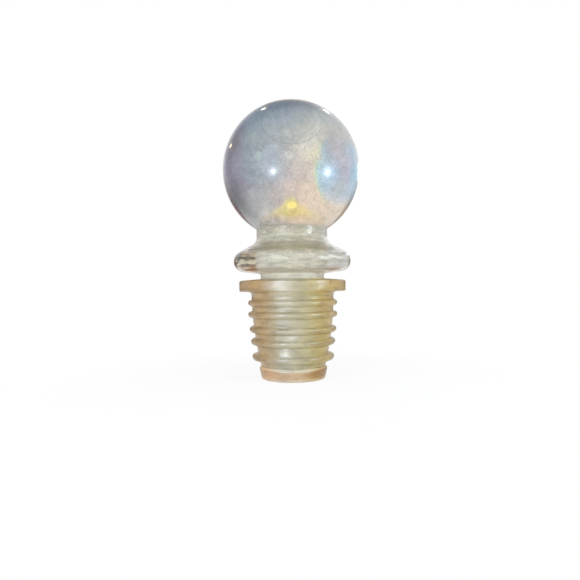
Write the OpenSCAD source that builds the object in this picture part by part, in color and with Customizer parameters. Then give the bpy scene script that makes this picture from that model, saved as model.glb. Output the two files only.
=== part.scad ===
// Ball-topped bottle stopper: a glass knob pressed in one piece, whose tapered stem is
// seated in a soft ribbed sleeve. +Z is up; the origin is the centre of the sleeve's foot.
// Both pieces are turned shapes: each is a half outline in (radius, height), swept round +Z.

/* [Ball and neck] */
// Diameter of the ball
ball_d = 30; // [26:0.5:40]
// Diameter of the neck under the ball
neck_d = 15.6; // [13:0.1:18]
// Length of the neck, from the collar's upper slope to the ball
neck_h = 2.9; // [2:0.05:6]
// Radius of the crease between the ball and the neck
crease_r = 0.3; // [0.1:0.05:0.6]
// Radius of the flare at the neck's foot
flare_r = 2; // [0.5:0.1:2.5]

/* [Collar] */
// Diameter of the collar
collar_d = 25.7; // [23:0.1:30]
// Radius of the collar's round rim
collar_rim_r = 2.3; // [1.6:0.1:2.6]
// Fall of the collar's upper face, in degrees
collar_fall = 30; // [22:1:36]
// Rise of the collar's underside towards the rim, in degrees
collar_rise = 7; // [3:0.5:11]
// Free height between the sleeve's mouth and the collar's underside
collar_gap = 1.1; // [0.7:0.05:3]

/* [Stem] */
// Diameter of the stem under the collar
stem_d = 14; // [12.5:0.1:15.5]
// Taper of the stem on each side, in degrees
stem_taper = 3; // [1.5:0.1:4]
// Radius of the fillet between the stem and the collar
stem_root_r = 0.5; // [0.2:0.05:0.6]
// Radius of the edge of the stem's end
stem_end_r = 0.8; // [0.3:0.1:2]

/* [Sleeve] */
// Height of the sleeve at its mouth
sleeve_h = 21.8; // [19:0.1:26]
// Thickness of the floor under the stem
floor_t = 2; // [1.2:0.1:4]
// Room between the stem and the bore
bore_clearance = 0.05; // [0.02:0.01:0.15]
// Bevel at the mouth of the bore
mouth_bevel = 0.3; // [0.1:0.05:0.6]
// Wall of the sleeve just under its flange
wall_top = 2.2; // [1.9:0.05:3]
// Wall of the sleeve just above its lip
wall_end = 1.1; // [0.8:0.05:1.5]

/* [Sleeve flange] */
// Diameter of the flange
flange_d = 23.4; // [21:0.1:28]
// Thickness of the flange at its rim
flange_t = 2.4; // [1.6:0.1:3.5]
// Fall of the flange's upper face, in degrees
flange_fall = 5; // [2:0.5:8]
// Radius of the flange's rim edges
flange_edge_r = 0.4; // [0.15:0.05:0.7]
// Radius of the fillet between the flange and the wall
flange_root_r = 0.85; // [0.15:0.05:1]

/* [Sealing ribs] */
// Place of each rib, as a share of the wall's length below the flange
rib_at = [0.15, 0.305, 0.505, 0.67, 0.875]; // [0.1:0.005:0.9]
// How far each rib stands out of the wall
rib_out = [0.8, 0.95, 1, 1.1, 1.45]; // [0.6:0.05:1.8]
// Radius of the ribs' round noses
rib_nose_r = 0.7; // [0.4:0.05:0.8]
// Slope of the ribs' upper sides, which hold against a pull, in degrees
rib_hold_slope = 8; // [4:1:16]
// Slope of the ribs' lower sides, which lead into the bottle, in degrees
rib_lead_slope = 18; // [10:1:26]

/* [Sleeve lip] */
// Height of the lip round the sleeve's foot
lip_h = 2.75; // [2:0.05:4]
// How far the lip stands out of the wall
lip_out = 0.35; // [0.2:0.05:0.8]
// Radius of the lip's upper edge
lip_edge_r = 0.6; // [0.3:0.05:0.9]
// Taper of the lip towards the foot, in degrees
lip_taper = 12; // [6:1:16]
// Radius of the edge round the foot
foot_edge_r = 0.3; // [0.1:0.05:0.6]

/* [Hidden] */
$fn = 144;
// How far pieces of an outline run into each other, so that they fuse
lap = 0.2;

// Heights of the glass, from the stem's root up
root_z = sleeve_h + collar_gap;
collar_r = collar_d / 2 - collar_rim_r;
stem_r = stem_d / 2;
rim_low = [collar_r, 0] + collar_rim_r * [sin(collar_rise), -cos(collar_rise)];
collar_z = root_z + (rim_low.x - stem_r) * tan(collar_rise) - rim_low.y;
rim_high = [collar_r, collar_z] + collar_rim_r * [sin(collar_fall), cos(collar_fall)];
neck_r = neck_d / 2;
neck_foot_z = rim_high.y + (rim_high.x - neck_r) * tan(collar_fall);
ball_r = ball_d / 2;
ball_z = neck_foot_z + neck_h + sqrt(ball_r ^ 2 - neck_r ^ 2);

// Radius of the stem, and of the bore round it, at a height
function stem_r_at(z) = stem_r - (root_z - z) * tan(stem_taper);
function bore_r_at(z) = stem_r_at(z) + bore_clearance;

// The sleeve's wall is bowed: it leaves the flange upright and draws in to the lip
mouth_r = bore_r_at(sleeve_h) + mouth_bevel;
flange_r = flange_d / 2;
flange_top_z = sleeve_h - (flange_r - mouth_r) * tan(flange_fall);
wall_top_z = flange_top_z - flange_t;
wall_top_r = bore_r_at(wall_top_z) + wall_top;
wall_end_r = bore_r_at(lip_h) + wall_end;
wall_len = wall_top_z - lip_h;
bow_in = wall_top_r - wall_end_r;
bow_r = (bow_in ^ 2 + wall_len ^ 2) / (2 * bow_in);
function wall_r_at(z) = wall_top_r - bow_r + sqrt(bow_r ^ 2 - (wall_top_z - z) ^ 2);

// Centre of the circle of radius r that rounds a corner. The two sides that meet there face
// along the unit vectors side_a and side_b.
function round_centre(corner, side_a, side_b, r) =
    corner + r * (side_a + side_b) / (1 + side_a * side_b);

// Small fillet between the neck and the ball, touching the neck's side and the sphere
module crease() {
    centre = [
        neck_r + crease_r,
        ball_z - sqrt((ball_r + crease_r) ^ 2 - (neck_r + crease_r) ^ 2)
    ];
    to_ball = ([0, ball_z] - centre) / (ball_r + crease_r);
    difference() {
        polygon([
            [neck_r - lap, centre.y],
            centre,
            centre + (crease_r + lap) * to_ball,
            [neck_r - lap, ball_z - sqrt(ball_r ^ 2 - neck_r ^ 2) + lap]
        ]);
        translate(centre) circle(crease_r);
    }
}

module ball_outline() {
    translate([0, ball_z])
        intersection() {
            circle(ball_r);
            translate([0, -ball_r]) square([ball_r, ball_d]);
        }
}

// Stem, collar and neck in one. The stem stands on the sleeve's floor and has a rounded end;
// its root under the collar and the flare at the neck's foot are cut round.
module stem_and_collar_outline() {
    stem_side = [cos(stem_taper), -sin(stem_taper)];
    underside = [sin(collar_rise), -cos(collar_rise)];
    slope = [sin(collar_fall), cos(collar_fall)];
    neck_side = [1, 0];
    end_corner = [stem_r_at(floor_t), floor_t];
    end_edge = round_centre(end_corner, -stem_side, [0, 1], stem_end_r);
    root = round_centre([stem_r, root_z], stem_side, underside, stem_root_r);
    flare = round_centre([neck_r, neck_foot_z], neck_side, slope, flare_r);
    translate(end_edge) circle(stem_end_r);
    translate([collar_r, collar_z]) circle(collar_rim_r);
    difference() {
        polygon([
            [0, floor_t],
            [end_edge.x, floor_t],
            end_edge,
            end_edge + stem_end_r * stem_side,
            root - stem_root_r * stem_side,
            root,
            root - stem_root_r * underside,
            [rim_low.x, rim_low.y + collar_z],
            rim_high,
            flare - flare_r * slope,
            flare,
            flare - flare_r * neck_side,
            [neck_r, ball_z],
            [0, ball_z]
        ]);
        translate(root) circle(stem_root_r);
        translate(flare) circle(flare_r);
    }
}

module flange_outline() {
    face = [sin(flange_fall), cos(flange_fall)];
    low_edge = [flange_r - flange_edge_r, wall_top_z + flange_edge_r];
    high_edge = [
        flange_r - flange_edge_r,
        flange_top_z + flange_edge_r * (tan(flange_fall) - 1 / cos(flange_fall))
    ];
    translate(low_edge) circle(flange_edge_r);
    translate(high_edge) circle(flange_edge_r);
    polygon([
        [0, wall_top_z],
        [low_edge.x, wall_top_z],
        low_edge,
        [flange_r, low_edge.y],
        [flange_r, high_edge.y],
        high_edge,
        high_edge + flange_edge_r * face,
        [mouth_r, sleeve_h],
        [0, sleeve_h]
    ]);
    flange_root();
}

// Fillet between the flange's underside and the wall
module flange_root() {
    translate([wall_top_r, wall_top_z - flange_root_r])
        difference() {
            translate([-lap, 0]) square([flange_root_r + lap, flange_root_r + lap]);
            translate([flange_root_r, 0]) circle(flange_root_r);
        }
}

module wall_outline() {
    intersection() {
        translate([wall_top_r - bow_r, wall_top_z]) circle(bow_r, $fn = 720);
        translate([0, lip_h - lap]) square([wall_top_r, wall_len + 2 * lap]);
    }
}

// A rib with a round nose, whose sides slope down to the wall on either hand
module rib_outline(z, out) {
    nose = [wall_r_at(z) + out - rib_nose_r, z];
    foot_r = wall_r_at(z) - wall_end / 2;
    hold = nose + rib_nose_r * [sin(rib_hold_slope), cos(rib_hold_slope)];
    lead = nose + rib_nose_r * [sin(rib_lead_slope), -cos(rib_lead_slope)];
    translate(nose) circle(rib_nose_r);
    polygon([
        [foot_r, lead.y - (lead.x - foot_r) * tan(rib_lead_slope)],
        lead,
        nose,
        hold,
        [foot_r, hold.y + (hold.x - foot_r) * tan(rib_hold_slope)]
    ]);
}

module lip_outline() {
    side = [cos(lip_taper), -sin(lip_taper)];
    edge = [wall_end_r + lip_out - lip_edge_r, lip_h - lip_edge_r];
    edge_end = edge + lip_edge_r * side;
    foot = [
        edge_end.x - (edge_end.y - foot_edge_r) * tan(lip_taper) - foot_edge_r / cos(lip_taper),
        foot_edge_r
    ];
    translate(edge) circle(lip_edge_r);
    translate(foot) circle(foot_edge_r);
    polygon([
        [0, 0],
        [foot.x, 0],
        foot,
        foot + foot_edge_r * side,
        edge_end,
        edge,
        [edge.x, lip_h],
        [0, lip_h]
    ]);
}

// The blind bore that takes the stem, with a bevelled mouth
module bore_outline() {
    bevel_z = sleeve_h - mouth_bevel;
    polygon([
        [0, floor_t],
        [bore_r_at(floor_t), floor_t],
        [bore_r_at(bevel_z), bevel_z],
        [mouth_r, sleeve_h],
        [mouth_r, sleeve_h + lap],
        [0, sleeve_h + lap]
    ]);
}

module glass_knob() {
    color([0.8, 0.83, 0.87, 0.5])
        rotate_extrude() {
            ball_outline();
            crease();
            stem_and_collar_outline();
        }
}

module ribbed_sleeve() {
    color([0.8, 0.72, 0.56, 0.8])
        rotate_extrude()
            difference() {
                union() {
                    flange_outline();
                    wall_outline();
                    for (i = [0 : len(rib_at) - 1])
                        rib_outline(wall_top_z - rib_at[i] * wall_len, rib_out[i]);
                    lip_outline();
                }
                bore_outline();
            }
}

glass_knob();
ribbed_sleeve();
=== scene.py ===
"""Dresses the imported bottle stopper: a faintly opalescent glass knob in a soft ribbed vinyl sleeve."""
import math

import bmesh
import bpy
from mathutils import Matrix, Vector


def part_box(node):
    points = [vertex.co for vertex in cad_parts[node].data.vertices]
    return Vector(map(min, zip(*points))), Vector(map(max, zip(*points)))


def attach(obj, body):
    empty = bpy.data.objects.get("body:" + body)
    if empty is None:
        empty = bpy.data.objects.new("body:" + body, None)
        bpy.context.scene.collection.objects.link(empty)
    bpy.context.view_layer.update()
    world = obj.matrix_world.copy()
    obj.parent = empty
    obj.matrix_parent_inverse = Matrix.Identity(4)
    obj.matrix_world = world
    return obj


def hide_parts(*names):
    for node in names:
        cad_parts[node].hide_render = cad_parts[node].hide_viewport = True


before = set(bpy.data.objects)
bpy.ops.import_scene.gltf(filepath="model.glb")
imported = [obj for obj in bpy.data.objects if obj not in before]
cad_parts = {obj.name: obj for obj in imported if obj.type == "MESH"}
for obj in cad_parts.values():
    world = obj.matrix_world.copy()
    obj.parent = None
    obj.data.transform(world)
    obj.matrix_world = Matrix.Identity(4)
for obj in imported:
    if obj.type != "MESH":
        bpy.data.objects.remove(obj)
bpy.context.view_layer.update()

bl_info = {
    "name": "Glass bottle stopper",
    "version": (1, 0, 0),
    "blender": (4, 5, 0),
    "location": "View3D > Sidebar > Stopper",
    "description": "Turns and finishes a ball-topped glass stopper and its ribbed sleeve",
    "category": "Object",
}

MM = 0.001
KNOB_LOW, KNOB_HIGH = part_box("glass_knob")
SLEEVE_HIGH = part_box("ribbed_sleeve")[1]
# How finely the pieces are turned: longest straight step of an outline, and segments round the axis
KNOB_STEP, SLEEVE_STEP, WALL_STEP = 0.45 * MM, 0.3 * MM, 0.25 * MM
KNOB_SEGMENTS, SLEEVE_SEGMENTS = 256, 192


def length(name, description, default):
    """A size in metres that the sidebar shows as a length."""
    return bpy.props.FloatProperty(
        name=name, description=description, default=default, unit="LENGTH", precision=5
    )


def angle(name, description, degrees):
    """An angle that the sidebar shows in degrees."""
    return bpy.props.FloatProperty(
        name=name, description=description, default=math.radians(degrees), subtype="ANGLE"
    )


def linear(hex_colour):
    """Linear RGB of an sRGB colour such as #C0FFEE."""
    channels = [int(hex_colour[i : i + 2], 16) / 255 for i in (1, 3, 5)]
    return tuple(c / 12.92 if c <= 0.04045 else ((c + 0.055) / 1.055) ** 2.4 for c in channels)


def colour(name, description, hex_colour):
    """A colour that the sidebar shows as a swatch."""
    return bpy.props.FloatVectorProperty(
        name=name,
        description=description,
        default=linear(hex_colour),
        subtype="COLOR",
        size=3,
        min=0.0,
        max=1.0,
    )


class GlassKnobSettings(bpy.types.PropertyGroup):
    """Sizes and colours of the pressed glass knob"""

    ball_radius: length("Ball radius", "Radius of the ball", 15 * MM)
    ball_top: length("Ball top", "Height of the ball's top", KNOB_HIGH[2])
    neck_radius: length("Neck radius", "Radius of the neck under the ball", 7.8 * MM)
    crease_radius: length("Crease", "Fillet between the ball and the neck", 0.3 * MM)
    flare_radius: length("Flare", "Fillet at the neck's foot", 2 * MM)
    collar_radius: length("Collar radius", "Largest radius of the collar", 12.85 * MM)
    rim_radius: length("Rim", "Radius of the collar's round rim", 2.3 * MM)
    collar_fall: angle("Collar fall", "Fall of the collar's upper face", 30)
    collar_rise: angle("Collar rise", "Rise of the collar's underside", 7)
    collar_gap: length("Gap", "Free height between the sleeve's mouth and the collar", 1.1 * MM)
    stem_radius: length("Stem radius", "Radius of the stem under the collar", 7 * MM)
    stem_taper: angle("Stem taper", "Taper of the stem on each side", 3)
    stem_root: length("Stem root", "Fillet between the stem and the collar", 0.5 * MM)
    stem_edge: length("Stem edge", "Radius of the edge of the stem's end", 0.8 * MM)
    stem_end: length("Stem end", "Height of the stem's end, on the sleeve's floor", KNOB_LOW[2])
    # Painted light: the straw glow of a warm lamp seen bent through the ball
    painted_glow: colour("Straw flash", "Colour of the tent-shaped flash low on the ball", "#FFE86E")
    # Painted refraction: an amber fringe of light bent through the collar's underside
    painted_fringe: colour("Amber", "Colour under the two ends of the collar", "#DC7C42")


class SleeveSettings(bpy.types.PropertyGroup):
    """Sizes and colour of the soft ribbed sleeve"""

    mouth: length("Mouth", "Height of the sleeve at its mouth", SLEEVE_HIGH[2])
    floor: length("Floor", "Height of the floor that the stem stands on", KNOB_LOW[2])
    clearance: length("Clearance", "Room between the stem and the bore", 0.05 * MM)
    bevel: length("Bevel", "Bevel at the mouth of the bore", 0.3 * MM)
    wall_top: length("Upper wall", "Wall just under the flange", 2.2 * MM)
    wall_end: length("Lower wall", "Wall just above the lip", 1.1 * MM)
    flange_radius: length("Flange radius", "Radius of the flange", 11.7 * MM)
    flange_thickness: length("Flange thickness", "Thickness of the flange's rim", 2.4 * MM)
    flange_fall: angle("Flange fall", "Fall of the flange's upper face", 5)
    flange_edge: length("Flange edge", "Radius of the flange's rim edges", 0.4 * MM)
    flange_root: length("Flange root", "Fillet between the flange and the wall", 0.85 * MM)
    rib_nose: length("Rib nose", "Radius of the ribs' round noses", 0.7 * MM)
    rib_hold: angle("Rib hold", "Slope of the ribs' upper sides", 8)
    rib_lead: angle("Rib lead", "Slope of the ribs' lower sides", 18)
    lip_height: length("Lip height", "Height of the lip round the foot", 2.75 * MM)
    lip_out: length("Lip", "How far the lip stands out of the wall", 0.35 * MM)
    lip_edge: length("Lip edge", "Radius of the lip's upper edge", 0.6 * MM)
    lip_taper: angle("Lip taper", "Taper of the lip towards the foot", 12)
    foot_edge: length("Foot edge", "Radius of the edge round the foot", 0.3 * MM)
    rib_at: bpy.props.FloatVectorProperty(
        name="Rib places",
        description="Place of each rib, as a share of the wall's length below the flange",
        default=(0.15, 0.305, 0.505, 0.67, 0.875),
        size=5,
    )
    rib_out: bpy.props.FloatVectorProperty(
        name="Rib heights",
        description="How far each rib stands out of the wall, in millimetres",
        default=(0.8, 0.95, 1.0, 1.1, 1.45),
        size=5,
    )
    vinyl: colour("Vinyl", "Colour that deep vinyl takes", "#D8BE80")


class StageSettings(bpy.types.PropertyGroup):
    """Camera and floor of the studio"""

    camera_distance: length("Camera distance", "From the camera to the stopper's axis", 110.6 * MM)
    camera_height: length("Camera height", "Height of the level camera", 19.33 * MM)
    camera_aside: length("Camera aside", "How far the camera stands left of the axis", 0.55 * MM)
    camera_roll: angle("Camera roll", "Tilt of the picture", -0.71)
    camera_lens: bpy.props.FloatProperty(
        name="Lens", description="Focal length on a 36 mm sensor", default=31.0, subtype="DISTANCE_CAMERA"
    )
    floor_tone: colour("Floor", "Colour of the pale floor", "#F4F4F2")


def arc(centre, radius, start, end, steps):
    """Points on a circle in (radius, height), from one direction to another, in radians."""
    turns = [start + (end - start) * i / steps for i in range(steps + 1)]
    return [(centre[0] + radius * math.cos(t), centre[1] + radius * math.sin(t)) for t in turns]


def round_centre(corner, side_a, side_b, radius):
    """Centre of the circle that rounds a corner whose two sides face along unit vectors."""
    share = radius / (1 + side_a.dot(side_b))
    return Vector(corner) + share * (side_a + side_b)


def facing(turn):
    """Unit vector in (radius, height) at an angle from level."""
    return Vector((math.cos(turn), math.sin(turn)))


def spaced(outline, step):
    """The outline with its long straight runs cut into pieces no longer than step."""
    points = [Vector(outline[0])]
    for point in outline[1:]:
        run = Vector(point) - points[-1]
        if run.length < 1e-7:
            continue
        start = points[-1].copy()
        pieces = max(1, math.ceil(run.length / step))
        points += [start + run * (i + 1) / pieces for i in range(pieces)]
    return points


def turned_piece(name, outline, segments):
    """A closed mesh swept round +Z from an outline that starts and ends on the axis."""
    mesh = bpy.data.meshes.new(name)
    work = bmesh.new()
    turns = [2 * math.pi * i / segments for i in range(segments)]
    rings = []
    for radius, height in outline[1:-1]:
        places = [(radius * math.cos(turn), radius * math.sin(turn), height) for turn in turns]
        rings.append([work.verts.new(place) for place in places])
    first = work.verts.new((0, 0, outline[0][1]))
    last = work.verts.new((0, 0, outline[-1][1]))
    for i in range(segments):
        after = (i + 1) % segments
        work.faces.new((first, rings[0][after], rings[0][i]))
        work.faces.new((last, rings[-1][i], rings[-1][after]))
        for low, high in zip(rings, rings[1:]):
            work.faces.new((low[i], low[after], high[after], high[i]))
    for face in work.faces:
        face.smooth = True
    work.to_mesh(mesh)
    work.free()
    piece = bpy.data.objects.new(name, mesh)
    bpy.context.scene.collection.objects.link(piece)
    return piece


def add_node(tree, kind, values=None, links=None, stops=(), **settings):
    """Add a shader node of a kind, with its settings, its input values and what feeds its inputs.

    A node that is given as a source feeds its first output. A colour ramp's stops are place, hex colour
    and, where it matters, strength.
    """
    node = tree.nodes.new("ShaderNode" + kind)
    for key, value in settings.items():
        setattr(node, key, value)
    for socket, value in (values or {}).items():
        node.inputs[socket].default_value = value
    for socket, source in (links or {}).items():
        feed = source.outputs[0] if isinstance(source, bpy.types.Node) else source
        tree.links.new(feed, node.inputs[socket])
    if stops:
        elements = node.color_ramp.elements
        while len(elements) < len(stops):
            elements.new(0.5)
        for element, (place, hex_colour, *strength) in zip(elements, stops):
            element.position = place
            element.color = (*linear(hex_colour), *(strength or (1.0,)))
    return node


def new_material(name):
    """An empty node material and its tree."""
    material = bpy.data.materials.new(name)
    material.use_nodes = True
    material.node_tree.nodes.clear()
    return material, material.node_tree


def from_middle(stops):
    """Stops placed from -1 to 1, moved to a ramp's 0 to 1."""
    return [(0.5 + place / 2, tone) for place, tone in stops]


def direction(azimuth, elevation):
    """Unit vector at an azimuth from the front and an elevation, in degrees."""
    turn, lift = math.radians(azimuth), math.radians(elevation)
    return Vector((math.sin(turn) * math.cos(lift), -math.cos(turn) * math.cos(lift), math.sin(lift)))


def ball_height(knob):
    """Height of the ball's middle."""
    return knob.ball_top - knob.ball_radius


# Colours across the ball, from -X to +X, and up the ball, from its foot to its top: place as a share
# of the ball's radius, and colour. The two multiply. They are partly opal tint and partly painted shade and
# light: darker towards -X and towards the top, paler and warmer low on the ball.
ACROSS_TINT_AND_SHADE = (
    (-0.95, "#5E5276"),
    (-0.68, "#908CA8"),
    (-0.48, "#A8BCCC"),
    (-0.14, "#D0D4E2"),
    (0.16, "#FAF0E8"),
    (0.3, "#FFF8F0"),
    (0.56, "#FAF2EA"),
    (0.78, "#DAD5D0"),
    (0.98, "#CED4DA"),
)
UPWARD_TINT_AND_SHADE = (
    (-0.8, "#FFE6BE"),
    (-0.45, "#F8DFCC"),
    (-0.26, "#DAD2D4"),
    (0.0, "#DAD8D6"),
    (0.16, "#DAD8CE"),
    (0.3, "#DAD8CC"),
    (0.46, "#B2BEC2"),
    (0.74, "#8299B8"),
    (0.9, "#788EB2"),
)
# Colours of the glass below the ball: height in millimetres and colour
BELOW = (
    (20.0, "#F0EEE0"),
    (22.8, "#EAE6D6"),
    (25.0, "#DEDACA"),
    (27.5, "#D6D4C2"),
    (30.0, "#C6C4B2"),
    (33.5, "#CAC8B6"),
)
# Streaks at the two ends of the collar, left and right: painted refraction, dark where dark surroundings
# show bent through the rim and pale where light does; value of their noise, and colour
PAINTED_STREAKS = (
    ((0.45, "#221A0E"), (0.51, "#7E6640"), (0.57, "#DCC08A"), (0.63, "#FFF0D2")),
    ((0.31, "#22211C"), (0.35, "#A8A698"), (0.38, "#F8F6F0"), (0.41, "#FFFFFF")),
)
# Patterns of the glass: size in millimetres, detail, low and high value of the noise, and the shades that
# these give. The lustre film's are its thickness in nanometres, and its clouds also stir the colours. The
# grit is drawn coarser than it is, so that it shows. Ripples are drawn out along the level.
FILM = (9.0, 2.0, 0.0, 1.0, 260.0, 520.0)
GRIT = (0.28, 4.0, 0.35, 0.65, 0.75, 1.18)
MOTTLE = (1.6, 3.0, 0.35, 0.65, 0.88, 1.14)
RIPPLE = (0.5, 4.0, 0.35, 0.6, 0.7, 1.22)
RIPPLE_DRAW = (0.2, 0.2, 1.0)
# How far the clouds stir the colours, the size of the painted streaks and the spacing of the seeds, in
# millimetres
CLOUD_STIR, STREAK_SIZE, SEED_SPACING = 3.0, 0.7, 5.0
# Seeds, which are small bubbles: their core and edge as shares of the spacing, and their shade
SEED_CORE, SEED_EDGE, SEED_SHADE = 0.025, 0.045, 0.25
# Relief of the skin: its depth in millimetres, and its strength on the ball and at the collar's ends
BUMP_DEPTH, BALL_BUMP, END_BUMP = 0.12, 0.04, 0.1
# Millimetres below and above the crease over which the ball's colours take over
BALL_FADE_BELOW, BALL_FADE_ABOVE = 0.3, 0.5
# The painted streaks start this many millimetres inside the stem's radius, and change along this share of
# the way round the collar. At its tips they fade to a share, over these depths from front to back in
# millimetres.
COLLAR_END_FADE, STREAK_DRAW = 0.4, 0.12
TIP_DEPTH, TIP_END, TIP_SHARE = 1.5, 5.0, 0.25
# Amber under the collar, a painted fringe of light bent through its underside: heights in millimetres where
# it starts and is full, and its shares, left and right
UNDER_FRINGE_TOP, UNDER_FRINGE_FULL, UNDER_FRINGE_LEFT, UNDER_FRINGE_RIGHT = 24.6, 23.2, 0.8, 0.6
# Heights in millimetres where the ground stem ends and the fire-polished glass begins, and their roughness
GROUND_END, POLISHED_FROM = 22.4, 23.2
GROUND_ROUGHNESS, POLISHED_ROUGHNESS = 0.3, 0.03
# Soft flashes of colour: azimuth from the front and elevation in degrees, reach in degrees, colour and
# strength. The first two, yellow low at the front, are painted light, the glow of a warm lamp seen bent
# through the ball; the rest are opal tints.
OPAL_AND_GLOW_FLASHES = (
    (0, -37, 7, "#FFF04E", 1.0),
    (0, -43, 9, "#FFE45C", 0.9),
    (120, 10, 40, "#8A8CA6", 0.6),
    (16, 6, 17, "#FFFAEC", 0.8),
    (25, 16, 13, "#FFF8E6", 0.45),
    (-14, -7, 16, "#7A92B2", 0.8),
    (-28, -47, 15, "#F2E0C8", 0.65),
)
# Clouds over the round flashes, given in the same way
LENS_CLOUDS = (
    (38, 9, 20, "#B0A8BC", 0.9),
    (18, 0, 11, "#F6EECC", 0.9),
    (-6, 52, 19, "#74879F", 0.8),
    (35, -13, 11, "#78A8F0", 0.6),
    (60, 10, 11, "#80B0F0", 0.6),
    (45, -25, 15, "#96A8B4", 0.85),
    (64, -9, 15, "#60BCFF", 0.9),
    (78, -27, 15, "#70A8E4", 0.8),
)
# Straw-coloured painted glow low on the ball, the light of a warm lamp behind it seen bent through the
# glass, shaped like a tent: height of its ridge, fall of its sides, heights where it fades out below,
# softness of its upper edge, and the half widths over which it fades aside, as shares of the ball's radius
TENT_RIDGE, TENT_FALL, TENT_FOOT, TENT_END = -0.53, 0.5, -0.7, -0.82
TENT_EDGE, TENT_WIDTH, TENT_CORE = 0.07, 0.5, 0.05
# Rings of colour of the round flashes, from the middle out: share of the reach, colour and strength
FRINGE = (
    (0.0, "#A8A6CE", 0.95),
    (0.22, "#9EA8D4", 0.95),
    (0.45, "#8EB2E6", 0.95),
    (0.8, "#86C2F0", 0.95),
    (0.91, "#98DCEE", 0.95),
    (0.95, "#C4EEBC", 0.9),
    (0.975, "#F6F0A0", 0.7),
    (1.0, "#F6E8B0", 0.0),
)
# The faint ring, given in the same way: painted refraction, a ring seen bent through the ball, pale inside
# and dark at its edge
PAINTED_RING = (
    (0.0, "#D6DED8", 0.12),
    (0.92, "#D6DED8", 0.16),
    (0.97, "#5E646A", 0.5),
    (1.0, "#5E646A", 0.0),
)
# Round flashes with a crisp edge: azimuth, elevation and reach in degrees, rings, strength, how far the
# edge is frayed in millimetres, and the share of the reach, up and down, over which the flash lasts. It
# is full over the core of that share.
LASTING_CORE = 0.4
ROUND_FLASHES = (
    (48.5, -8.5, 31.5, FRINGE, 1.0, 2.2, 1.02),
    # The two with the faint ring are painted refraction
    (1, 30, 24, PAINTED_RING, 1.0, 0.2, 2.0),
    (242, 12, 27, FRINGE, 0.5, 1.2, 0.95),
    (150, 40, 20, PAINTED_RING, 1.0, 0.2, 2.0),
)


def on_ball(knob, azimuth, elevation):
    """The point on the ball at an azimuth from the front and an elevation, in degrees."""
    return Vector((0, 0, ball_height(knob))) + knob.ball_radius * direction(azimuth, elevation)


def chord(knob, reach):
    """Straight distance across the ball's skin that an angle in degrees spans."""
    return 2 * knob.ball_radius * math.sin(math.radians(reach) / 2)


def shading(tree, place, size, detail, low, high, dark, light):
    """A noise of a size in millimetres, and the shades that its low and high values give."""
    noise = add_node(tree, "TexNoise", {"Scale": 1 / (size * MM), "Detail": detail}, {"Vector": place})
    shades = add_node(
        tree,
        "MapRange",
        {"From Min": low, "From Max": high, "To Min": dark, "To Max": light},
        {"Value": noise},
    )
    return noise, shades


def ball_colours(tree, knob, stirred):
    """Colours of the ball: those across it, multiplied by those up it; partly painted shade and light."""
    inward = add_node(
        tree, "VectorMath", {1: (0, 0, ball_height(knob))}, {0: stirred}, operation="SUBTRACT"
    )
    share = add_node(
        tree,
        "VectorMath",
        {1: (0.5 / knob.ball_radius,) * 3, 2: (0.5, 0.5, 0.5)},
        {0: inward},
        operation="MULTIPLY_ADD",
    )
    axes = add_node(tree, "SeparateXYZ", None, {0: share})
    across = add_node(tree, "ValToRGB", None, {0: axes.outputs["X"]}, from_middle(ACROSS_TINT_AND_SHADE))
    upward = add_node(tree, "ValToRGB", None, {0: axes.outputs["Z"]}, from_middle(UPWARD_TINT_AND_SHADE))
    both = add_node(
        tree, "Mix", {0: 1.0}, {6: across, 7: upward}, data_type="RGBA", blend_type="MULTIPLY"
    )
    return both.outputs[2]


def lower_colours(tree, height):
    """Colours of the glass below the ball, by height."""
    foot, top = BELOW[0][0], BELOW[-1][0]
    level = add_node(tree, "MapRange", {"From Min": foot * MM, "From Max": top * MM}, {"Value": height})
    stops = [((z - foot) / (top - foot), tone) for z, tone in BELOW]
    return add_node(tree, "ValToRGB", None, {0: level}, stops)


def collar_colours(tree, knob, place, axis, stirred):
    """Colours of the collar's ends: painted streaks of bent light round it, with a painted amber fringe
    under them.
    """
    flow = add_node(tree, "SeparateXYZ", None, {0: stirred})
    turn = add_node(tree, "Math", None, {0: flow.outputs["X"], 1: flow.outputs["Y"]}, operation="ARCTAN2")
    along = add_node(tree, "Math", {1: STREAK_DRAW * knob.collar_radius}, {0: turn}, operation="MULTIPLY")
    level = add_node(tree, "VectorMath", {1: (1.0, 1.0, 0.0)}, {0: place}, operation="MULTIPLY")
    spread = add_node(tree, "VectorMath", None, {0: level}, operation="LENGTH")
    drawn = add_node(
        tree, "CombineXYZ", None, {0: along, 1: spread.outputs["Value"], 2: flow.outputs["Z"]}
    )
    streaking = add_node(
        tree, "TexNoise", {"Scale": 1 / (STREAK_SIZE * MM), "Detail": 3.0}, {"Vector": drawn}
    )
    left_end, right_end = (add_node(tree, "ValToRGB", None, {0: streaking}, stops) for stops in PAINTED_STREAKS)
    side = add_node(
        tree,
        "MapRange",
        {"From Min": -knob.stem_radius, "From Max": knob.stem_radius},
        {"Value": axis.outputs["X"]},
    )
    ends = add_node(tree, "Mix", None, {0: side, 6: left_end, 7: right_end}, data_type="RGBA")
    under = add_node(
        tree,
        "MapRange",
        {"From Min": UNDER_FRINGE_TOP * MM, "From Max": UNDER_FRINGE_FULL * MM},
        {"Value": axis.outputs["Z"]},
    )
    lessen = add_node(tree, "MapRange", {"To Min": UNDER_FRINGE_LEFT, "To Max": UNDER_FRINGE_RIGHT}, {"Value": side})
    under = add_node(tree, "Math", None, {0: under, 1: lessen}, operation="MULTIPLY")
    ends = add_node(tree, "Mix", {7: (*knob.painted_fringe, 1)}, {0: under, 6: ends.outputs[2]}, data_type="RGBA")
    return ends.outputs[2]


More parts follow.
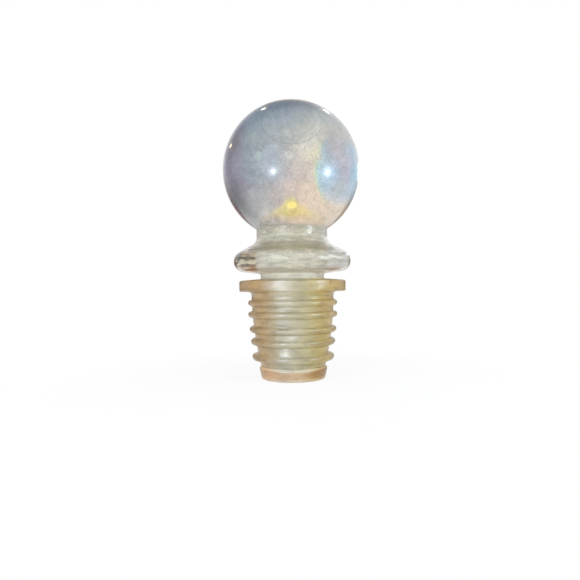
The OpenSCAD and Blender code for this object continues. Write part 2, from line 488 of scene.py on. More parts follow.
def collar_share(tree, axis, in_ball, in_end):
    """How far the collar's colours show: at its ends, below the ball, and less at the tips."""
    below_ball = add_node(tree, "Math", {0: 1.0}, {1: in_ball}, operation="SUBTRACT")
    share = add_node(tree, "Math", None, {0: in_end, 1: below_ball}, operation="MULTIPLY")
    deep = add_node(tree, "Math", None, {0: axis.outputs["Y"]}, operation="ABSOLUTE")
    off_tip = add_node(
        tree,
        "MapRange",
        {"From Min": TIP_DEPTH * MM, "From Max": TIP_END * MM, "To Min": TIP_SHARE},
        {"Value": deep},
        interpolation_type="SMOOTHSTEP",
    )
    return add_node(tree, "Math", None, {0: share, 1: off_tip}, operation="MULTIPLY")


def tent_share(tree, knob, aside, height):
    """How far the tent-shaped painted glow shows low on the ball."""
    middle = ball_height(knob)
    off_axis = add_node(tree, "Math", {1: 1 / knob.ball_radius}, {0: aside}, operation="MULTIPLY")
    up_ball = add_node(
        tree,
        "MapRange",
        {"From Min": middle - knob.ball_radius, "From Max": middle, "To Min": -1.0, "To Max": 0.0},
        {"Value": height},
    )
    eave = add_node(tree, "Math", {1: TENT_FALL}, {0: off_axis, 2: up_ball}, operation="MULTIPLY_ADD")
    roof = add_node(
        tree,
        "MapRange",
        {"From Min": TENT_RIDGE, "From Max": TENT_RIDGE - TENT_EDGE},
        {"Value": eave},
        interpolation_type="SMOOTHSTEP",
    )
    foot = add_node(
        tree,
        "MapRange",
        {"From Min": TENT_END, "From Max": TENT_FOOT},
        {"Value": up_ball},
        interpolation_type="SMOOTHSTEP",
    )
    wing = add_node(
        tree, "MapRange", {"From Min": TENT_WIDTH, "From Max": TENT_CORE}, {"Value": off_axis}
    )
    tent = add_node(tree, "Math", None, {0: roof, 1: foot}, operation="MULTIPLY")
    return add_node(tree, "Math", None, {0: tent, 1: wing}, operation="MULTIPLY")


def soft_flash(tree, knob, place, tint, azimuth, elevation, reach, hex_colour, strength):
    """The tint with a soft flash of colour over it."""
    spot = on_ball(knob, azimuth, elevation)
    away = add_node(tree, "VectorMath", {1: spot}, {0: place}, operation="DISTANCE")
    share = add_node(
        tree,
        "MapRange",
        {"From Min": chord(knob, reach), "From Max": 0.0, "To Max": strength},
        {"Value": away.outputs["Value"]},
        interpolation_type="SMOOTHSTEP",
    )
    flash = (*linear(hex_colour), 1)
    mixed = add_node(tree, "Mix", {7: flash}, {0: share, 6: tint}, data_type="RGBA")
    return mixed.outputs[2]


def round_flash(tree, knob, place, speck, tint, azimuth, elevation, reach, rings, strength, fray, lasting):
    """The tint with a round flash over it, whose edge the grit frays."""
    spot, radius = on_ball(knob, azimuth, elevation), chord(knob, reach)
    away = add_node(tree, "VectorMath", {1: spot}, {0: place}, operation="DISTANCE")
    frayed = add_node(
        tree, "Math", {1: fray * MM}, {0: speck, 2: away.outputs["Value"]}, operation="MULTIPLY_ADD"
    )
    share = add_node(
        tree,
        "MapRange",
        {"From Min": fray / 2 * MM, "From Max": radius + fray / 2 * MM},
        {"Value": frayed},
    )
    ring = add_node(tree, "ValToRGB", None, {0: share}, rings)
    height = add_node(tree, "SeparateXYZ", None, {0: place}).outputs["Z"]
    above = add_node(tree, "Math", {1: spot.z}, {0: height}, operation="SUBTRACT")
    above = add_node(tree, "Math", None, {0: above}, operation="ABSOLUTE")
    lasts = add_node(
        tree,
        "MapRange",
        {"From Min": lasting * radius, "From Max": LASTING_CORE * lasting * radius, "To Max": strength},
        {"Value": above},
        interpolation_type="SMOOTHSTEP",
    )
    strong = add_node(tree, "Math", None, {0: ring.outputs["Alpha"], 1: lasts}, operation="MULTIPLY")
    mixed = add_node(tree, "Mix", None, {0: strong, 6: tint, 7: ring}, data_type="RGBA")
    return mixed.outputs[2]


def fleck_shades(tree, place, in_ball, in_end, gritty, dashed):
    """Shades of the flecks in the glass: grit, seeds, mottling and, on the neck and stem, dashes."""
    seeds = add_node(tree, "TexVoronoi", {"Scale": 1 / (SEED_SPACING * MM)}, {"Vector": place})
    seedy = add_node(
        tree,
        "MapRange",
        {"From Min": SEED_CORE, "From Max": SEED_EDGE, "To Min": SEED_SHADE, "To Max": 1.0},
        {"Value": seeds.outputs["Distance"]},
    )
    _, mottled = shading(tree, place, *MOTTLE)
    smooth = add_node(tree, "Math", None, {0: in_ball, 1: in_end}, operation="MAXIMUM")
    dashed = add_node(tree, "Mix", {3: 1.0}, {0: smooth, 2: dashed})
    fleck = gritty
    for shades in (seedy, mottled, dashed):
        fleck = add_node(tree, "Math", None, {0: fleck, 1: shades}, operation="MULTIPLY")
    return fleck


def glass_relief(tree, in_ball, in_end, ripple, speck):
    """Fine relief of the skin: full on the neck and stem, slight at the collar's ends and on the ball."""
    column = add_node(tree, "MapRange", {"To Min": 1.0, "To Max": END_BUMP}, {"Value": in_end})
    strength = add_node(tree, "Mix", {3: BALL_BUMP}, {0: in_ball, 2: column})
    grain = add_node(tree, "Math", None, {0: ripple, 1: speck}, operation="ADD")
    return add_node(tree, "Bump", {"Distance": BUMP_DEPTH * MM}, {"Height": grain, "Strength": strength})


def opal_glass(knob):
    """Pressed soda-lime glass with a faint opal and a lustre film.

    Clear and fire polished, so it shows what is behind it bent and upside down. Opal scatter gives it soft
    clouds of steel blue and peach. Painted on its skin are shade, darker towards -X and the top, a straw
    glow of bent light low on the ball, streaks and an amber fringe of bent light at the collar's ends, and
    faint rings of refraction. A thin film on the skin tints its reflections.
    """
    material, tree = new_material("opalescent_pressed_glass")
    place = add_node(tree, "TexCoord").outputs["Object"]
    axis = add_node(tree, "SeparateXYZ", None, {0: place})
    height = axis.outputs["Z"]
    aside = add_node(tree, "Math", None, {0: axis.outputs["X"]}, operation="ABSOLUTE")
    crease = ball_height(knob) - math.sqrt(knob.ball_radius**2 - knob.neck_radius**2)
    in_ball = add_node(
        tree,
        "MapRange",
        {"From Min": crease - BALL_FADE_BELOW * MM, "From Max": crease + BALL_FADE_ABOVE * MM},
        {"Value": height},
        interpolation_type="SMOOTHSTEP",
    )
    in_end = add_node(
        tree,
        "MapRange",
        {"From Min": knob.stem_radius - COLLAR_END_FADE * MM, "From Max": knob.neck_radius},
        {"Value": aside},
        interpolation_type="SMOOTHSTEP",
    )
    cloud, film = shading(tree, place, *FILM)
    shift = add_node(
        tree, "VectorMath", {1: (0.5, 0.5, 0.5)}, {0: cloud.outputs["Color"]}, operation="SUBTRACT"
    )
    stirred = add_node(
        tree, "VectorMath", {1: (CLOUD_STIR * MM,) * 3}, {0: shift, 2: place}, operation="MULTIPLY_ADD"
    )
    speck, gritty = shading(tree, place, *GRIT)
    drawn = add_node(tree, "VectorMath", {1: RIPPLE_DRAW}, {0: place}, operation="MULTIPLY")
    ripple, dashed = shading(tree, drawn, *RIPPLE)

    lower = lower_colours(tree, height)
    # Partly painted shade: the ball darker towards -X and towards the top
    ball = ball_colours(tree, knob, stirred)
    tint = add_node(tree, "Mix", None, {0: in_ball, 6: lower, 7: ball}, data_type="RGBA")
    # Painted refraction at the collar's ends: streaks of bent light and an amber fringe
    ends = collar_colours(tree, knob, place, axis, stirred)
    share = collar_share(tree, axis, in_ball, in_end)
    tint = add_node(
        tree, "Mix", None, {0: share, 6: tint.outputs[2], 7: ends}, data_type="RGBA"
    ).outputs[2]
    # Soft flashes; the two yellow ones low at the front are painted light
    for flash in OPAL_AND_GLOW_FLASHES:
        tint = soft_flash(tree, knob, stirred, tint, *flash)
    # Painted light: the tent-shaped straw glow of a lamp seen bent through the ball
    tent = tent_share(tree, knob, aside, height)
    tint = add_node(tree, "Mix", {7: (*knob.painted_glow, 1)}, {0: tent, 6: tint}, data_type="RGBA").outputs[2]
    # Round flashes; those with the faint ring are painted refraction
    for flash in ROUND_FLASHES:
        tint = round_flash(tree, knob, place, speck, tint, *flash)
    for flash in LENS_CLOUDS:
        tint = soft_flash(tree, knob, stirred, tint, *flash)

    fleck = fleck_shades(tree, place, in_ball, in_end, gritty, dashed)
    flecked = add_node(tree, "VectorMath", None, {0: tint, "Scale": fleck}, operation="SCALE")
    bump = glass_relief(tree, in_ball, in_end, ripple, speck)
    ground = add_node(
        tree,
        "MapRange",
        {
            "From Min": GROUND_END * MM,
            "From Max": POLISHED_FROM * MM,
            "To Min": GROUND_ROUGHNESS,
            "To Max": POLISHED_ROUGHNESS,
        },
        {"Value": height},
    )
    glass = add_node(
        tree,
        "BsdfPrincipled",
        {
            "IOR": 1.5,
            "Transmission Weight": 1.0,
            "Coat Weight": 0.5,
            "Coat Roughness": 0.28,
            "Thin Film IOR": 1.45,
        },
        {"Base Color": flecked, "Roughness": ground, "Thin Film Thickness": film, "Normal": bump},
    )
    add_node(tree, "OutputMaterial", None, {"Surface": glass})
    return material


# Colours across the sleeve, and those that its lip adds, from -X to +X: place as a share of the
# flange's radius, and colour. Across the sleeve they are paler in the middle, a painted highlight of the
# soft light.
AGED_AND_HIGHLIGHT = (
    (-1.0, "#E8CA90"),
    (-0.78, "#E4C48A"),
    (-0.55, "#EED4A2"),
    (-0.2, "#FAFCF2"),
    (0.15, "#FAF8E0"),
    (0.5, "#FFECA0"),
    (0.78, "#FFE294"),
    (1.0, "#FAD88A"),
)
LIP = (
    (-1.0, "#DCBA9C"),
    (-0.3, "#E8C8B4"),
    (0.1, "#EED8CC"),
    (0.35, "#B88E4E"),
    (0.6, "#7C560A"),
    (1.0, "#6A4604"),
)
# The lip's band of colour, in millimetres: how far below the lip's top it starts and is full, how far it
# rises at the sides and the distances from the middle over which it does, and the heights over which it
# fades to a share at the sole. The lip's top edge and its sole stay paler: a painted highlight along the
# top edge and a painted reflection of the floor along the sole.
LIP_START, LIP_FULL = 0.3, 1.1
LIP_RISE, RISE_START, RISE_END = 0.7, 2.5, 5.5
SOLE_LOW, SOLE_HIGH, SOLE_SHARE = 0.1, 0.8, 0.25
# Patterns of the vinyl, given like those of the glass. Smudges are drawn out along the level.
VINYL_CLOUD = (6.0, 3.0, 0.0, 1.0, 0.86, 1.06)
VINYL_GRAIN = (0.3, 3.0, 0.35, 0.65, 0.86, 1.08)
VINYL_SMUDGE = (1.4, 4.0, 0.32, 0.6, 0.76, 1.22)
SMUDGE_DRAW = (0.4, 0.4, 1.3)
# Sags in the skin: size in millimetres and strength beside the grain, and the depth of both in millimetres
SAG_SIZE, SAG_SHARE, SKIN_DEPTH = 2.4, 3.0, 0.07
# Ragged marks on the sleeve's front: place across and up and half sizes in millimetres, colour,
# strength, and how clear the vinyl stays there. The white ones, where the vinyl is less clear, are painted
# glints of the light; the brown one is a ragged dark mark.
FRONT_GLINTS_AND_MARK = (
    (-1.7, 6.2, 1.7, 0.9, "#FFFFFF", 1.0, 0.3),
    (-2.2, 11.8, 4.2, 0.9, "#6C5C48", 0.6, 0.9),
    (0.0, 9.6, 2.0, 1.0, "#FFFFFF", 0.6, 0.5),
)
CLEAR_VINYL = 0.9
# How far smudges fray the marks, and the frayed distances, in half sizes, where they start and are full
MARK_FRAY, MARK_START, MARK_FULL = 4.0, 2.9, 1.9


def lip_share(tree, sleeve, axes):
    """How far the lip's colours show: they rise at the sides and fade at the sole, leaving the top edge and
    the sole pale as a painted highlight and a painted reflection of the floor.
    """
    aside = add_node(tree, "Math", None, {0: axes.outputs["X"]}, operation="ABSOLUTE")
    rise = add_node(
        tree,
        "MapRange",
        {"From Min": RISE_START * MM, "From Max": RISE_END * MM, "To Max": LIP_RISE * MM},
        {"Value": aside},
    )
    lowered = add_node(tree, "Math", None, {0: axes.outputs["Z"], 1: rise}, operation="SUBTRACT")
    in_lip = add_node(
        tree,
        "MapRange",
        {"From Min": sleeve.lip_height - LIP_START * MM, "From Max": sleeve.lip_height - LIP_FULL * MM},
        {"Value": lowered},
    )
    sole = add_node(
        tree,
        "MapRange",
        {"From Min": SOLE_LOW * MM, "From Max": SOLE_HIGH * MM, "To Min": SOLE_SHARE},
        {"Value": axes.outputs["Z"]},
    )
    return add_node(tree, "Math", None, {0: in_lip, 1: sole}, operation="MULTIPLY")


def front_mark_share(tree, place, smudge, front, x, z, across, up, strength):
    """How far a ragged mark shows, on the front alone; the white marks are painted glints."""
    mark = add_node(tree, "VectorMath", {1: (x * MM, 0, z * MM)}, {0: place}, operation="SUBTRACT")
    mark = add_node(
        tree, "VectorMath", {1: (1 / (across * MM), 0, 1 / (up * MM))}, {0: mark}, operation="MULTIPLY"
    )
    mark = add_node(tree, "VectorMath", None, {0: mark}, operation="LENGTH")
    ragged = add_node(
        tree, "Math", {1: MARK_FRAY}, {0: smudge, 2: mark.outputs["Value"]}, operation="MULTIPLY_ADD"
    )
    marked = add_node(
        tree,
        "MapRange",
        {"From Min": MARK_START, "From Max": MARK_FULL, "To Max": strength},
        {"Value": ragged},
    )
    return add_node(tree, "Math", None, {0: marked, 1: front}, operation="MULTIPLY")


def aged_vinyl(sleeve):
    """Plasticised PVC, injection moulded, yellowed with age.

    Translucent and satin: light soaks in and blurs, edges glow a little, thick places look browner. It is
    browner to -X and yellower to +X, and paler in the middle as a painted highlight of the soft light. The
    lip is a little pinker and darker to +X, its top edge and sole left pale as a painted highlight and a
    painted reflection of the floor, and white marks on the front are painted glints.
    """
    material, tree = new_material("aged_soft_vinyl")
    place = add_node(tree, "TexCoord").outputs["Object"]
    axes = add_node(tree, "SeparateXYZ", None, {0: place})
    side = add_node(
        tree,
        "MapRange",
        {"From Min": -sleeve.flange_radius, "From Max": sleeve.flange_radius},
        {"Value": axes.outputs["X"]},
    )
    # Paler in the middle: a painted highlight of the soft light
    aged_and_highlight = add_node(tree, "ValToRGB", None, {0: side}, from_middle(AGED_AND_HIGHLIGHT))
    lip_tone = add_node(tree, "ValToRGB", None, {0: side}, from_middle(LIP))
    lip = add_node(
        tree,
        "Mix",
        None,
        {0: lip_share(tree, sleeve, axes), 6: aged_and_highlight, 7: lip_tone},
        data_type="RGBA",
        blend_type="MULTIPLY",
    )
    _, tone = shading(tree, place, *VINYL_CLOUD)
    grain, gritty = shading(tree, place, *VINYL_GRAIN)
    rubbed = add_node(tree, "VectorMath", {1: SMUDGE_DRAW}, {0: place}, operation="MULTIPLY")
    smudge, smudged = shading(tree, rubbed, *VINYL_SMUDGE)
    for shades in (gritty, smudged):
        tone = add_node(tree, "Math", None, {0: tone, 1: shades}, operation="MULTIPLY")
    tint = add_node(tree, "VectorMath", None, {0: lip.outputs[2], "Scale": tone}, operation="SCALE")

    front = add_node(tree, "Math", {1: 0.0}, {0: axes.outputs["Y"]}, operation="LESS_THAN")
    clear = None
    # Marks on the front: the white ones are painted glints, where the vinyl turns white and less clear
    for x, z, across, up, hex_colour, strength, clearness in FRONT_GLINTS_AND_MARK:
        marked = front_mark_share(tree, place, smudge, front, x, z, across, up, strength)
        shade = (*linear(hex_colour), 1)
        tint = add_node(tree, "Mix", {7: shade}, {0: marked, 6: tint}, data_type="RGBA").outputs[2]
        sources = {0: marked} if clear is None else {0: marked, 2: clear}
        clear = add_node(tree, "Mix", {2: CLEAR_VINYL, 3: clearness}, sources)

    sag = add_node(tree, "TexNoise", {"Scale": 1 / (SAG_SIZE * MM), "Detail": 1.0}, {"Vector": place})
    skin = add_node(tree, "Math", {1: SAG_SHARE}, {0: sag, 2: grain}, operation="MULTIPLY_ADD")
    bump = add_node(tree, "Bump", {"Strength": 1.0, "Distance": SKIN_DEPTH * MM}, {"Height": skin})
    vinyl = add_node(
        tree,
        "BsdfPrincipled",
        {"Roughness": 0.36, "IOR": 1.5, "Coat Weight": 0.5, "Coat Roughness": 0.3},
        {"Base Color": tint, "Transmission Weight": clear, "Normal": bump},
    )
    depth = add_node(tree, "VolumeAbsorption", {"Color": (*sleeve.vinyl, 1), "Density": 80.0})
    add_node(tree, "OutputMaterial", None, {"Surface": vinyl, "Volume": depth})
    return material


def stem_radius_at(knob, root, height):
    """Radius of the tapered stem at a height."""
    return knob.stem_radius - (root - height) * math.tan(knob.stem_taper)


def knob_outline(knob, sleeve):
    """Half outline of the glass, from the stem's end up to the top of the ball."""
    root_z = sleeve.mouth + knob.collar_gap
    rim_r = knob.collar_radius - knob.rim_radius
    under_turn, slope_turn = knob.collar_rise - math.pi / 2, math.pi / 2 - knob.collar_fall
    under = facing(under_turn)
    slope = facing(slope_turn)
    stem_side = facing(-knob.stem_taper)
    neck_side = Vector((1, 0))
    low = Vector((rim_r, 0)) + knob.rim_radius * under
    collar_z = root_z + (low.x - knob.stem_radius) * math.tan(knob.collar_rise) - low.y
    high = Vector((rim_r, collar_z)) + knob.rim_radius * slope
    neck_foot = high.y + (high.x - knob.neck_radius) * math.tan(knob.collar_fall)
    ball_z = ball_height(knob)
    end_corner = (stem_radius_at(knob, root_z, knob.stem_end), knob.stem_end)
    end_edge = round_centre(end_corner, -stem_side, Vector((0, 1)), knob.stem_edge)
    root = round_centre((knob.stem_radius, root_z), stem_side, under, knob.stem_root)
    flare = round_centre((knob.neck_radius, neck_foot), neck_side, slope, knob.flare_radius)
    crease_reach = knob.ball_radius + knob.crease_radius
    crease_r = knob.neck_radius + knob.crease_radius
    crease_z = ball_z - math.sqrt(crease_reach**2 - crease_r**2)
    to_ball = math.atan2(ball_z - crease_z, -crease_r)
    outline = [(0, knob.stem_end)]
    outline += arc(end_edge, knob.stem_edge, -math.pi / 2, -knob.stem_taper, 8)
    outline += arc(root, knob.stem_root, math.pi - knob.stem_taper, math.pi / 2 + knob.collar_rise, 8)
    outline += arc((rim_r, collar_z), knob.rim_radius, under_turn, slope_turn, 28)
    outline += arc(flare, knob.flare_radius, 1.5 * math.pi - knob.collar_fall, math.pi, 14)
    outline += arc((crease_r, crease_z), knob.crease_radius, math.pi, to_ball, 6)
    outline += arc((0, ball_z), knob.ball_radius, to_ball - math.pi, math.pi / 2, 110)
    outline[-1] = (0, knob.ball_top)
    return outline


def sleeve_outline(knob, sleeve):
    """Half outline of the sleeve: from the foot's middle up the outside, and down the bore to the floor."""
    root_z = sleeve.mouth + knob.collar_gap

    def bore_r(height):
        return stem_radius_at(knob, root_z, height) + sleeve.clearance

    mouth_r = bore_r(sleeve.mouth) + sleeve.bevel
    rim_z = sleeve.mouth - (sleeve.flange_radius - mouth_r) * math.tan(sleeve.flange_fall)
    top_z = rim_z - sleeve.flange_thickness
    top_r = bore_r(top_z) + sleeve.wall_top
    end_r = bore_r(sleeve.lip_height) + sleeve.wall_end
    wall_length = top_z - sleeve.lip_height
    bow_in = top_r - end_r
    bow_r = (bow_in**2 + wall_length**2) / (2 * bow_in)

    def wall_r(height):
        return top_r - bow_r + math.sqrt(bow_r**2 - (top_z - height) ** 2)

    def wall_run(low, high):
        count = max(1, round((high - low) / WALL_STEP))
        heights = [low + (high - low) * i / count for i in range(count + 1)]
        return [(wall_r(z), z) for z in heights]

    def rib_foot(nose, turn, slope):
        """Where a rib's sloping side meets the bowed wall."""
        start = nose + sleeve.rib_nose * facing(turn)
        way = math.copysign(1, turn)
        z = start.y
        for _ in range(12):
            z = start.y + way * (start.x - wall_r(z)) * math.tan(slope)
        return z

    lip_side = -sleeve.lip_taper
    lip_centre = Vector((end_r + sleeve.lip_out - sleeve.lip_edge, sleeve.lip_height - sleeve.lip_edge))
    lip_end = lip_centre + sleeve.lip_edge * facing(lip_side)
    foot_r = lip_end.x - (lip_end.y - sleeve.foot_edge) * math.tan(sleeve.lip_taper)
    foot_centre = (foot_r - sleeve.foot_edge / math.cos(sleeve.lip_taper), sleeve.foot_edge)
    outline = [(0, 0)]
    outline += arc(foot_centre, sleeve.foot_edge, -math.pi / 2, lip_side, 6)
    outline += arc(lip_centre, sleeve.lip_edge, lip_side, math.pi / 2, 12)
    low = sleeve.lip_height
    for at, out in reversed(list(zip(sleeve.rib_at, sleeve.rib_out))):
        z = top_z - at * wall_length
        nose = Vector((wall_r(z) + out * MM - sleeve.rib_nose, z))
        lead_turn, hold_turn = sleeve.rib_lead - math.pi / 2, math.pi / 2 - sleeve.rib_hold
        outline += wall_run(low, rib_foot(nose, lead_turn, sleeve.rib_lead))
        outline += arc(nose, sleeve.rib_nose, lead_turn, hold_turn, 16)
        low = rib_foot(nose, hold_turn, sleeve.rib_hold)
    outline += wall_run(low, top_z - sleeve.flange_root)
    root_centre = (top_r + sleeve.flange_root, top_z - sleeve.flange_root)
    outline += arc(root_centre, sleeve.flange_root, math.pi, math.pi / 2, 8)
    edge_r = sleeve.flange_radius - sleeve.flange_edge
    edge_z = rim_z + sleeve.flange_edge * (math.tan(sleeve.flange_fall) - 1 / math.cos(sleeve.flange_fall))
    outline += arc((edge_r, top_z + sleeve.flange_edge), sleeve.flange_edge, -math.pi / 2, 0, 8)
    outline += arc((edge_r, edge_z), sleeve.flange_edge, 0, math.pi / 2 - sleeve.flange_fall, 8)
    bevel_z = sleeve.mouth - sleeve.bevel
    outline += [(mouth_r, sleeve.mouth), (bore_r(bevel_z), bevel_z)]
    outline += [(bore_r(sleeve.floor), sleeve.floor), (0, sleeve.floor)]
    return outline


class STOPPER_OT_glass_knob(bpy.types.Operator):
    """Turn the glass knob and finish it in opalescent glass"""

    bl_idname = "stopper.glass_knob"
    bl_label = "Glass knob"

    def execute(self, context):
        knob, sleeve = context.scene.stopper_knob, context.scene.stopper_sleeve
        outline = spaced(knob_outline(knob, sleeve), KNOB_STEP)
        piece = turned_piece("glass_knob_turned", outline, KNOB_SEGMENTS)
        piece.data.materials.append(opal_glass(knob))
        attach(piece, "root")
        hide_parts("glass_knob")
        return {"FINISHED"}


class STOPPER_OT_ribbed_sleeve(bpy.types.Operator):
    """Mould the ribbed sleeve and finish it in aged vinyl"""

    bl_idname = "stopper.ribbed_sleeve"
    bl_label = "Ribbed sleeve"

    def execute(self, context):
        knob, sleeve = context.scene.stopper_knob, context.scene.stopper_sleeve
        outline = spaced(sleeve_outline(knob, sleeve), SLEEVE_STEP)
        piece = turned_piece("ribbed_sleeve_moulded", outline, SLEEVE_SEGMENTS)
        piece.data.materials.append(aged_vinyl(sleeve))
        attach(piece, "root")
        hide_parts("ribbed_sleeve")
        return {"FINISHED"}


WHITE = (1, 1, 1, 1)
FLOOR_RADIUS = 2.0
# The floor is a little short of white near the foot, where it keeps the shadow: where that starts to fade
# and ends, and its share of white
SHADE_NEAR, SHADE_FAR, SHADE_WHITE = 8 * MM, 60 * MM, 0.9
# Lamps round the ball: name, azimuth from the camera's side and elevation in degrees, distance and
# width in millimetres, brightness with white as 1, colour, whether the glass shows it bent, and the piece
# that it lights if it lights only one
LAMPS = (
    ("left_softbox", -27, 4, 150, 128, 1.3, "#F0F5FF", False),
    ("low_softbox", -27, -16, 104, 80, 3.1, "#F4F6FF", False, "ribbed_sleeve_moulded"),
    ("left_bulb", -26.6, -11.5, 74.4, 5.4, 280, "#EEF4FF", False),
    ("left_halo", -26.6, -11.5, 74, 15, 2.6, "#BCD6FF", False),
    ("right_bulb", 56, -9.5, 73, 6, 280, "#EAF6FF", False),
    ("right_halo", 56, -9.5, 72.5, 14, 4, "#A0DCFF", False),
    ("right_wide_halo", 56, -9.5, 72, 24, 1.6, "#8CD8FF", False),
    ("back_top_left_bulb", -152, 53, 300, 16, 25, "#FFF6C8", False),
    ("back_top_right_bulb", 154, 43, 300, 20, 25, "#FFF6DC", False),
    ("back_left_bulb", -131, 26, 300, 16, 20, "#FFE6B0", False),
    ("back_right_bulb", 150, 11, 300, 40, 5, "#E6F2FF", False),
    ("front_bulb", -3, 11, 140, 28, 2.6, "#FFFFFF", False),
    ("left_front_bulb", -52, 12.5, 140, 28, 2.8, "#FFF8E4", False),
    ("straw_bulb", 180, 29, 300, 20, 0.7, "#FFC828", True),
    ("straw_strip", 180, 35, 300, 90, 0.12, "#FFC040", True),
)
# Flags that keep the glass's edges dark: name, azimuth and elevation, distance and width as above, colour,
# and whether the glass shows it bent and shows it reflected
FLAGS = (
    ("left_flag", -122, 30, 420, 500, "#4A4856", False, True),
    ("top_flag", -165, 66, 420, 800, "#4A4856", False, True),
    ("right_flag", 126, 27, 420, 450, "#4A4856", True, False),
    ("ceiling_flag", 0, 88, 420, 1000, "#4A4856", True, False),
    ("low_left_flag", -150, -10, 150, 150, "#84522C", False, True),
    ("low_right_flag", 150, -10, 150, 150, "#786028", False, True),
)


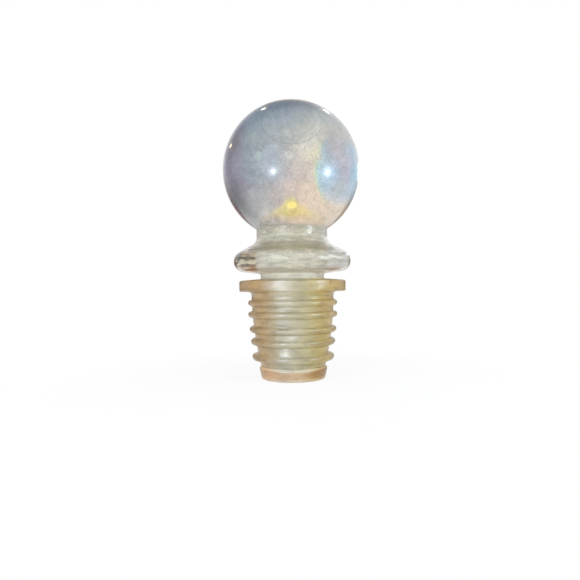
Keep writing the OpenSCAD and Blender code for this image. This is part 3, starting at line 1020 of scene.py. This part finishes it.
class STOPPER_OT_stage(bpy.types.Operator):
    """Set the pale floor, the white world, the soft lamps, the dark flags and the camera"""

    bl_idname = "stopper.stage"
    bl_label = "Stage"

    def execute(self, context):
        scene, stage = context.scene, context.scene.stopper_stage
        self.floor(stage)
        self.world(scene)
        for lamp in LAMPS:
            self.lamp(scene, *lamp)
        for flag in FLAGS:
            self.flag(scene, *flag)
        lens = bpy.data.cameras.new("camera")
        lens.lens = stage.camera_lens
        lens.sensor_width = 36.0
        lens.clip_start = 1 * MM
        camera = bpy.data.objects.new("camera", lens)
        scene.collection.objects.link(camera)
        level = Matrix.Rotation(math.pi / 2, 4, "X") @ Matrix.Rotation(stage.camera_roll, 4, "Z")
        stand = (-stage.camera_aside, -stage.camera_distance, stage.camera_height)
        camera.matrix_world = Matrix.Translation(stand) @ level
        scene.camera = camera
        scene.view_settings.view_transform = "Standard"
        scene.cycles.max_bounces = 32
        scene.cycles.transmission_bounces = 32
        scene.cycles.glossy_bounces = 16
        return {"FINISHED"}

    def seen(self, tree):
        """A node that is 1 where the camera sees, straight or through gloss and glass, and 0 elsewhere."""
        path = add_node(tree, "LightPath")
        plain = add_node(
            tree,
            "Math",
            None,
            {0: path.outputs["Is Camera Ray"], 1: path.outputs["Is Glossy Ray"]},
            operation="MAXIMUM",
        )
        return add_node(
            tree, "Math", None, {0: plain, 1: path.outputs["Is Transmission Ray"]}, operation="MAXIMUM"
        )

    def floor(self, stage):
        """A wide pale floor that keeps the stopper's shadow and runs out to white."""
        material, tree = new_material("white_studio_floor")
        place = add_node(tree, "TexCoord").outputs["Object"]
        away = add_node(tree, "VectorMath", None, {0: place}, operation="LENGTH")
        fade = add_node(
            tree,
            "MapRange",
            {"From Min": SHADE_NEAR, "From Max": SHADE_FAR, "To Min": SHADE_WHITE, "To Max": 1.0},
            {"Value": away.outputs["Value"]},
            interpolation_type="SMOOTHSTEP",
        )
        seen = self.seen(tree)
        share = add_node(tree, "Math", None, {0: seen, 1: fade}, operation="MULTIPLY")
        matt = add_node(tree, "BsdfDiffuse", {"Color": (*stage.floor_tone, 1)})
        white = add_node(tree, "Emission", {"Color": WHITE, "Strength": 1.0})
        mixed = add_node(tree, "MixShader", None, {0: share, 1: matt, 2: white})
        add_node(tree, "OutputMaterial", None, {"Surface": mixed})
        mesh = bpy.data.meshes.new("floor")
        work = bmesh.new()
        bmesh.ops.create_circle(work, cap_ends=True, segments=96, radius=FLOOR_RADIUS)
        work.to_mesh(mesh)
        work.free()
        mesh.materials.append(material)
        floor = bpy.data.objects.new("floor", mesh)
        bpy.context.scene.collection.objects.link(floor)

    def world(self, scene):
        """White where it is seen, plainer where it lights."""
        world = bpy.data.worlds.new("studio")
        world.use_nodes = True
        scene.world = world
        tree = world.node_tree
        tree.nodes.clear()
        level = add_node(tree, "MapRange", {"To Min": 0.5, "To Max": 1.0}, {"Value": self.seen(tree)})
        sky = add_node(tree, "Background", {"Color": WHITE}, {"Strength": level})
        add_node(tree, "OutputWorld", None, {"Surface": sky})

    def aim(self, scene, thing, azimuth, elevation, distance):
        """Place a lamp or a flag round the ball, facing it and out of the camera's sight."""
        way = direction(azimuth, elevation)
        thing.location = Vector((0, 0, ball_height(scene.stopper_knob))) + way * distance * MM
        thing.rotation_euler = (-way).to_track_quat("-Z", "Y").to_euler()
        thing.visible_camera = False
        scene.collection.objects.link(thing)

    def lamp(
        self, scene, name, azimuth, elevation, distance, width, brightness, hex_colour, bent, only=None
    ):
        """A soft round lamp aimed at the ball."""
        light = bpy.data.lights.new(name, "AREA")
        light.shape = "DISK"
        light.size = width * MM
        area = light.size**2 * (math.pi / 4)
        light.energy = brightness * math.pi * area
        light.color = linear(hex_colour)
        lamp = bpy.data.objects.new(name, light)
        lamp.visible_transmission = bent
        if only:
            lit = bpy.data.collections.new("lit_by_" + name)
            lit.objects.link(bpy.data.objects[only])
            lamp.light_linking.receiver_collection = lit
        self.aim(scene, lamp, azimuth, elevation, distance)

    def flag(self, scene, name, azimuth, elevation, distance, width, hex_colour, bent, reflected):
        """A dark cloth with a soft edge, which only shows in reflections or through glass."""
        material, tree = new_material("dark_flag_cloth")
        place = add_node(tree, "TexCoord").outputs["Object"]
        away = add_node(tree, "VectorMath", None, {0: place}, operation="LENGTH")
        share = add_node(
            tree,
            "MapRange",
            {"From Min": width * MM / 2, "From Max": 0.0},
            {"Value": away.outputs["Value"]},
            interpolation_type="SMOOTHSTEP",
        )
        cloth = add_node(tree, "BsdfDiffuse", {"Color": (*linear(hex_colour), 1)})
        clear = add_node(tree, "BsdfTransparent")
        mixed = add_node(tree, "MixShader", None, {0: share, 1: clear, 2: cloth})
        add_node(tree, "OutputMaterial", None, {"Surface": mixed})
        mesh = bpy.data.meshes.new(name)
        work = bmesh.new()
        bmesh.ops.create_grid(work, x_segments=1, y_segments=1, size=width * MM / 2)
        work.to_mesh(mesh)
        work.free()
        mesh.materials.append(material)
        flag = bpy.data.objects.new(name, mesh)
        flag.visible_diffuse = False
        flag.visible_transmission = bent
        flag.visible_glossy = reflected
        flag.visible_shadow = False
        self.aim(scene, flag, azimuth, elevation, distance)


class STOPPER_PT_panel(bpy.types.Panel):
    """The stopper's pieces, stage, sizes and colours"""

    bl_label = "Glass stopper"
    bl_idname = "STOPPER_PT_panel"
    bl_space_type = "VIEW_3D"
    bl_region_type = "UI"
    bl_category = "Stopper"

    def draw(self, context):
        for step, settings in STEPS:
            box = self.layout.box()
            box.operator(step.bl_idname)
            group = getattr(context.scene, settings)
            for name in group.bl_rna.properties.keys():
                if name not in ("rna_type", "name"):
                    box.prop(group, name)


STEPS = (
    (STOPPER_OT_glass_knob, "stopper_knob"),
    (STOPPER_OT_ribbed_sleeve, "stopper_sleeve"),
    (STOPPER_OT_stage, "stopper_stage"),
)
GROUPS = {
    "stopper_knob": GlassKnobSettings,
    "stopper_sleeve": SleeveSettings,
    "stopper_stage": StageSettings,
}
CLASSES = (*GROUPS.values(), *(step for step, _ in STEPS), STOPPER_PT_panel)


def register():
    for each in CLASSES:
        bpy.utils.register_class(each)
    for name, group in GROUPS.items():
        setattr(bpy.types.Scene, name, bpy.props.PointerProperty(type=group))


def unregister():
    for name in GROUPS:
        delattr(bpy.types.Scene, name)
    for each in reversed(CLASSES):
        bpy.utils.unregister_class(each)


def main():
    register()
    bpy.ops.stopper.glass_knob()
    bpy.ops.stopper.ribbed_sleeve()
    bpy.ops.stopper.stage()


if __name__ == "__main__":
    main()
